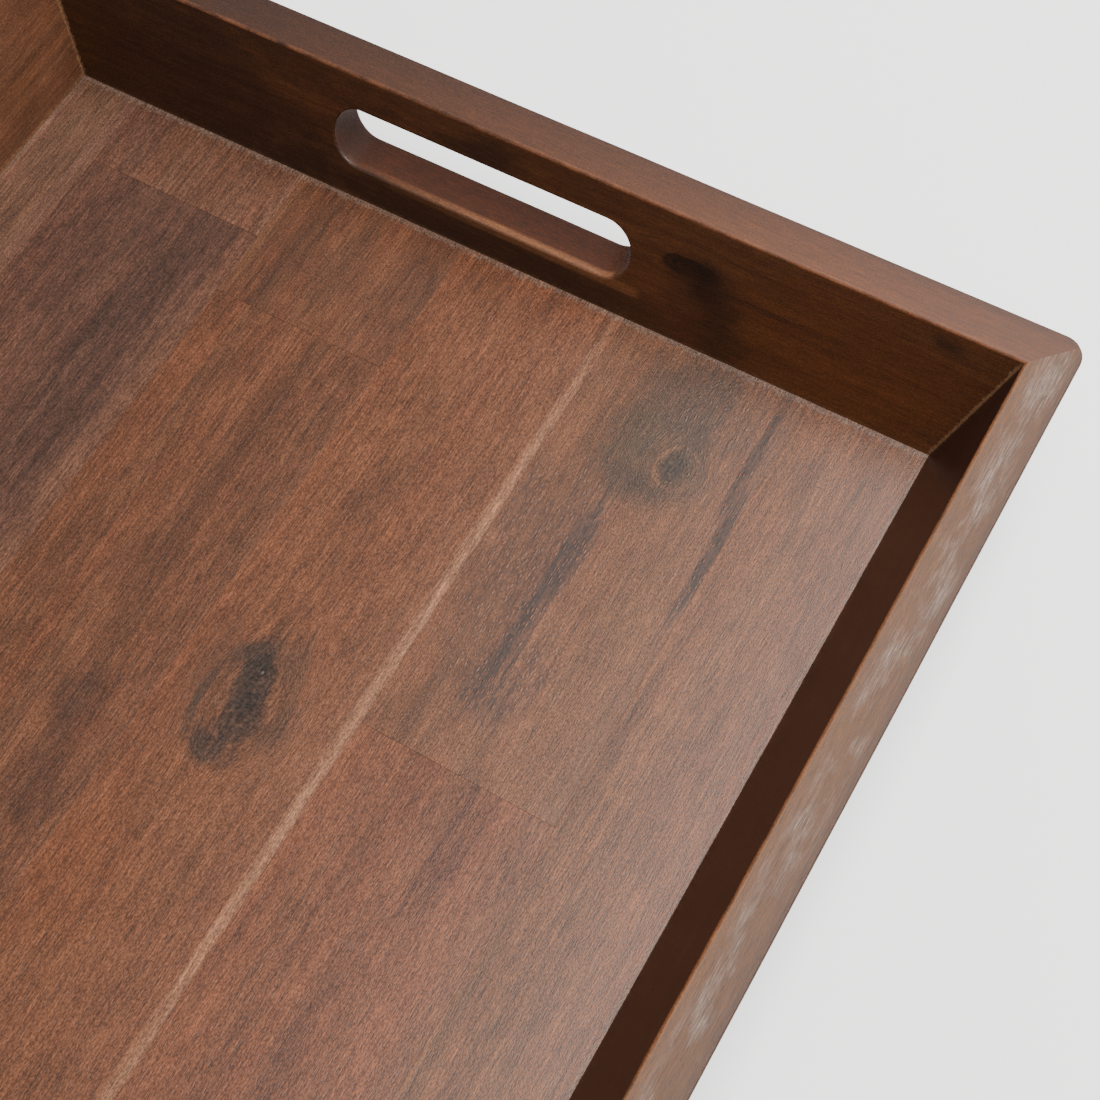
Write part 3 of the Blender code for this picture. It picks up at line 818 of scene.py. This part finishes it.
class RailWood(Wood):
    """A rail's wood: dark on its leaning faces, rubbed paler on the rim, with painted sheen on it, and a
    painted highlight along the slot's lips.
    Its rubbed, filled and routed places are found by height, by how far they lie along the rail and
    by how deep they lie behind its inner face."""

    def __init__(self, name, index, sizes):
        self.look = look = RAILS[name]
        self.sizes = sizes
        self.thickness = sizes.thickness / MM
        super().__init__(f"acacia_dark_stain_{name}", linear(look.tone), FIRST_RAIL_SEED + index,
                         look.order, look.marks, figure=0.8)
        tree = self.tree
        out_x, out_y, _ = look.outward
        self.is_end = bool(out_y)
        self.places = add_node(tree, "ShaderNodeSeparateXYZ", {0: self.object_place}).outputs
        self.height = self.places["Z"]
        self.along = self.places["X" if self.is_end else "Y"]
        half = HALF_LENGTH if self.is_end else HALF_WIDTH
        cos_lean, sin_lean = math.cos(sizes.lean), math.sin(sizes.lean)
        square = Vector((out_x * cos_lean, out_y * cos_lean, -sin_lean))
        outward = add_node(tree, "ShaderNodeVectorMath", {
            0: self.object_place, 1: square}, operation="DOT_PRODUCT").outputs["Value"]
        at_face = half * cos_lean - FLOOR_TOP * sin_lean
        self.behind = add_node(tree, "ShaderNodeMath", {0: outward, 1: at_face}, operation="SUBTRACT")
        self.on_rim = band(tree, self.height, RIM_TOP / MM - 0.35, BEYOND, 0.3)
        self.rubbed = self.on_rim

    def rub_rim(self):
        """The rim is handled and rubbed most, so its stain is thinner; its milky patches and its tone rising
        along the rail are painted sheen.
        """
        tree, look = self.tree, self.look
        colours = bpy.context.scene.tray_colours
        # Painted sheen: the rim's tone rises from darker at one end to lighter at the other
        sheen_fade = add_node(tree, "ShaderNodeMapRange", {
            "Value": self.along, "From Min": -90 * MM, "From Max": 110 * MM,
            "To Min": look.rim_sheen_fade[0], "To Max": look.rim_sheen_fade[1]})
        across = add_node(tree, "ShaderNodeMapRange", {
            "Value": self.behind, "From Max": self.sizes.thickness, "To Min": 1.22, "To Max": 0.86})
        self.lay(shade(tree, linear(look.rim_tone)[:3], sheen_fade, across), self.on_rim, 0.94)
        # Painted sheen, milky grey-pink, in patches down the middle of the rim
        patches = grain_noise(tree, self.place, (9.0, 26.0, 9.0), 0.44, 0.62, 4.0, shift=61.0)
        milky = band(tree, self.behind, 3.2, self.thickness - 2.6, 1.4)
        self.lay(colours.painted_rim_sheen, self.on_rim, milky, patches, self.hairs, look.painted_sheen)
        self.gain(self.streaks, 0.10)
        outer = band(tree, self.behind, self.thickness - 1.8, BEYOND, 1.0)
        self.lay(colours.outer_line, self.on_rim, outer, 0.5)
        # The arris inside the rim is worn to lighter wood in a thin broken line, which is also a painted
        # highlight
        arris = together(tree, band(tree, self.height, RIM_TOP / MM - 0.75, BEYOND, 0.2),
                         band(tree, self.behind, -BEYOND, 0.75, 0.35))
        broken = grain_noise(tree, self.place, (3.0, 7.0, 3.0), 0.36, 0.60, 3.0, shift=14.0)
        self.lay(colours.worn, arris, broken, 0.45)

    def fill_corners(self):
        """Filler and lacquer wiped into the corners dry as a thin ragged lighter line."""
        tree = self.tree
        colours = bpy.context.scene.tray_colours
        ragged = grain_noise(
            tree, self.object_place, (1.4, 1.4, 1.4), 0.35, 0.65, 3.0, (-0.45 * MM, 0.45 * MM), 8.8)
        foot = add_node(tree, "ShaderNodeMath", {0: self.height, 1: ragged}, operation="ADD")
        at_floor = band(tree, foot, -BEYOND, FLOOR_TOP / MM + 0.7, 0.3)
        on_face = band(tree, self.behind, -BEYOND, 0.5, 0.3)
        self.lay(colours.filler, at_floor, on_face, 0.10 if self.is_end else 0.45)
        side_gap, end_gap = (
            add_node(tree, "ShaderNodeMath", {0: self.places[axis]}, operation="ABSOLUTE") for axis in "XY")
        apart = add_node(tree, "ShaderNodeMath", {0: side_gap, 1: end_gap}, operation="SUBTRACT")
        apart = add_node(tree, "ShaderNodeMath", {
            0: apart, 1: HALF_WIDTH - HALF_LENGTH}, operation="SUBTRACT")
        apart = add_node(tree, "ShaderNodeMath", {0: apart}, operation="ABSOLUTE")
        apart = add_node(tree, "ShaderNodeMath", {0: apart, 1: ragged}, operation="ADD")
        at_mitre = band(tree, apart, -BEYOND, 0.75, 0.25)
        below_rim = band(tree, self.height, -BEYOND, RIM_TOP / MM - 1.0, 0.4)
        self.lay(colours.filler, at_mitre, on_face, below_rim, 0.7)

    def stain_slot(self):
        """The slot is routed across the grain, so its bare wood takes the stain redder and rougher."""
        tree, sizes = self.tree, self.sizes
        colours = bpy.context.scene.tray_colours
        high = (RIM_TOP - sizes.slot_below_rim) / MM
        low = high - sizes.slot_height / MM
        margin = 3.0
        reach = sizes.slot_length / MM / 2 + margin
        near_slot = band(tree, self.along, -reach, reach, 1.0)
        in_slot = together(tree, near_slot, band(tree, self.height, low - margin, high + margin, 0.5),
                           band(tree, self.behind, 0.8, self.thickness - 0.4, 0.5))
        self.lay(colours.slot, in_slot, 0.9)
        # Painted shade in the slot's left end
        painted_end_shade = add_node(tree, "ShaderNodeMapRange", {
            "Value": self.along, "From Min": -50 * MM, "From Max": -38 * MM, "To Min": 1.0, "To Max": 0.0})
        self.lay(colours.painted_slot_end_shade, in_slot, painted_end_shade, 0.6)
        # A painted highlight along its eased lower lip, faintest at the left end
        lip = together(tree, near_slot, band(tree, self.height, low - 2.0, low + 1.2, 0.4),
                       band(tree, self.behind, 0.2, 2.2, 0.5))
        bright_end = add_node(tree, "ShaderNodeMapRange", {
            "Value": self.along, "From Min": -40 * MM, "From Max": 10 * MM, "To Min": 0.12, "To Max": 0.75})
        self.lay(colours.painted_lip_highlight, lip, bright_end)
        self.rubbed = add_node(tree, "ShaderNodeMath", {
            0: in_slot, 1: 1.7, 2: self.on_rim}, operation="MULTIPLY_ADD")
        self.raised = add_node(tree, "ShaderNodeMath", {0: in_slot, 1: 0.35}, operation="MULTIPLY")


def rail_finish(name, index, sizes):
    """One rail's wood with everything that hands, filler and the router have done to it."""
    wood = RailWood(name, index, sizes)
    wood.rub_rim()
    wood.fill_corners()
    if wood.is_end:
        wood.stain_slot()
    return wood.seal(specks=0.26)


# ---------------------------------------------------------------- operators

class TRAY_OT_floor(bpy.types.Operator):
    """Lays the floor staves, each with the grain of its own board"""
    bl_idname = "tray.floor"
    bl_label = "Floor staves"

    def execute(self, context):
        for index, name in enumerate(FLOOR_NODES):
            board = stave_board(name, context.scene.tray_floor)
            finish_piece(board, f"{name}_board", stave_finish(name, index), name)
        return {"FINISHED"}


class TRAY_OT_rails(bpy.types.Operator):
    """Shapes the four rails as one eased ring and parts them at the mitres"""
    bl_idname = "tray.rails"
    bl_label = "Rails"

    def execute(self, context):
        sizes = context.scene.tray_rails
        ring = rim_frame(sizes)
        reach = Vector((HALF_WIDTH + sizes.groove_depth, HALF_LENGTH + sizes.groove_depth, 0.0))
        under = Vector((0.0, 0.0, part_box(FLOOR_NODES[0])[0].z - GROOVE_UNDER))
        over = Vector((0.0, 0.0, FLOOR_TOP + GROOVE_OVER))
        ring = carve(ring, box_bmesh(under - reach, over + reach))
        for end in (1, -1):
            ring = carve(ring, slot_cutter(sizes, end))
        for inside_face, ease in ((True, sizes.slot_ease_in), (False, sizes.slot_ease_out)):
            ring.normal_update()
            bevel_edges(ring, slot_lips(ring, sizes, inside_face), ease, LIP_STEPS)
        cross_cuts(ring, CROSS_CUT)
        sand_by_hand(ring, sizes)
        for index, (name, look) in enumerate(RAILS.items()):
            out_x, out_y, _ = look.outward
            along = Vector((out_y, out_x, 0))
            planes = [(1 if side.x + out_x > 0 else -1, 1 if side.y + out_y > 0 else -1,
                       side - Vector(look.outward)) for side in (along, -along)]
            rail = ring.copy()
            mitre_off(rail, planes)
            finish_piece(rail, f"{name}_shaped", rail_finish(name, index, sizes), name)
        ring.free()
        return {"FINISHED"}


class TRAY_OT_splines(bpy.types.Operator):
    """Gives the tongues hidden in the mitres their plain planed wood"""
    bl_idname = "tray.splines"
    bl_label = "Corner splines"

    def execute(self, context):
        # Planed and glued in with no stain or lacquer, so they stay pale and dull
        wood = Wood("acacia_planed_unstained", context.scene.tray_colours.spline, SPLINE_SEED, "ZXY")
        material = wood.seal(roughness=0.65)
        for name in SPLINE_NODES:
            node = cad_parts[name]
            node.data.materials.clear()
            node.data.materials.append(material)
        return {"FINISHED"}


class TRAY_OT_stage(bpy.types.Operator):
    """Sets the pale floor, the soft lights and the camera"""
    bl_idname = "tray.stage"
    bl_label = "Studio"

    def execute(self, context):
        stage = context.scene.tray_stage
        bm = bmesh.new()
        bmesh.ops.create_grid(bm, x_segments=1, y_segments=1, size=4.0)
        bmesh.ops.translate(bm, vec=(0.0, 0.0, -PAPER_DROP), verts=bm.verts)
        mesh = bpy.data.meshes.new("studio_floor")
        bm.to_mesh(mesh)
        bm.free()
        floor = bpy.data.objects.new("studio_floor", mesh)
        context.scene.collection.objects.link(floor)
        # Uncoated paper, lit a little from below, so it has no shine and its shadows stay soft
        paper = bpy.data.materials.new("paper_pale_matt")
        paper.use_nodes = True
        shader = paper.node_tree.nodes["Principled BSDF"]
        shader.inputs["Base Color"].default_value = context.scene.tray_colours.floor
        shader.inputs["Roughness"].default_value = 0.8
        shader.inputs["Emission Color"].default_value = (1.0, 1.0, 1.0, 1.0)
        shader.inputs["Emission Strength"].default_value = stage.paper_glow
        mesh.materials.append(paper)

        world = bpy.data.worlds.new("studio_surroundings")
        world.use_nodes = True
        world.node_tree.nodes["Background"].inputs["Color"].default_value = (1.0, 1.0, 1.0, 1.0)
        world.node_tree.nodes["Background"].inputs["Strength"].default_value = stage.fill
        context.scene.world = world

        for name, place, target, size, power in (
            ("key_softbox", (0.42, 0.50, 1.30), (0.42, 0.35, 0.0), (0.8, 1.7), stage.key_power),
            ("back_strip", (0.10, 1.30, 0.45), (0.0, 0.20, 0.0), (1.2, 0.4), stage.back_power),
        ):
            light = bpy.data.lights.new(name, "AREA")
            light.shape = "RECTANGLE"
            light.size, light.size_y = size
            light.energy = power
            lamp = bpy.data.objects.new(name, light)
            lamp.location = place
            lamp.rotation_euler = (Vector(target) - Vector(place)).to_track_quat("-Z", "Y").to_euler()
            context.scene.collection.objects.link(lamp)

        camera_data = bpy.data.cameras.new("camera")
        camera_data.sensor_width = 36.0
        camera_data.lens = stage.camera_lens
        camera_data.clip_start = 0.01
        camera = bpy.data.objects.new("camera", camera_data)
        place, target = Vector(stage.camera_place), Vector(stage.camera_target)
        aim = (target - place).to_track_quat("-Z", "Y").to_matrix()
        roll = Matrix.Rotation(stage.camera_roll, 3, "Z")
        camera.matrix_world = Matrix.Translation(place) @ (aim @ roll).to_4x4()
        context.scene.collection.objects.link(camera)
        context.scene.camera = camera
        return {"FINISHED"}


class TRAY_PT_panel(bpy.types.Panel):
    """Lists the steps that finish the tray"""
    bl_label = "Acacia Serving Tray"
    bl_idname = "TRAY_PT_panel"
    bl_space_type = "VIEW_3D"
    bl_region_type = "UI"
    bl_category = "Tray"

    def draw(self, context):
        for step in (TRAY_OT_floor, TRAY_OT_rails, TRAY_OT_splines, TRAY_OT_stage):
            self.layout.operator(step.bl_idname)
        for settings in (context.scene.tray_rails, context.scene.tray_floor,
                         context.scene.tray_colours, context.scene.tray_stage):
            box = self.layout.box()
            for key in settings.__annotations__:
                box.prop(settings, key)


CLASSES = (TrayRailSettings, TrayFloorSettings, TrayColourSettings, TrayStageSettings,
           TRAY_OT_floor, TRAY_OT_rails, TRAY_OT_splines, TRAY_OT_stage, TRAY_PT_panel)


def register():
    for item in CLASSES:
        bpy.utils.register_class(item)
    bpy.types.Scene.tray_rails = bpy.props.PointerProperty(type=TrayRailSettings)
    bpy.types.Scene.tray_floor = bpy.props.PointerProperty(type=TrayFloorSettings)
    bpy.types.Scene.tray_colours = bpy.props.PointerProperty(type=TrayColourSettings)
    bpy.types.Scene.tray_stage = bpy.props.PointerProperty(type=TrayStageSettings)


def unregister():
    for key in ("tray_stage", "tray_colours", "tray_floor", "tray_rails"):
        delattr(bpy.types.Scene, key)
    for item in reversed(CLASSES):
        bpy.utils.unregister_class(item)


def main():
    register()
    bpy.ops.tray.floor()
    bpy.ops.tray.rails()
    bpy.ops.tray.splines()
    bpy.ops.tray.stage()


if __name__ == "__main__":
    main()
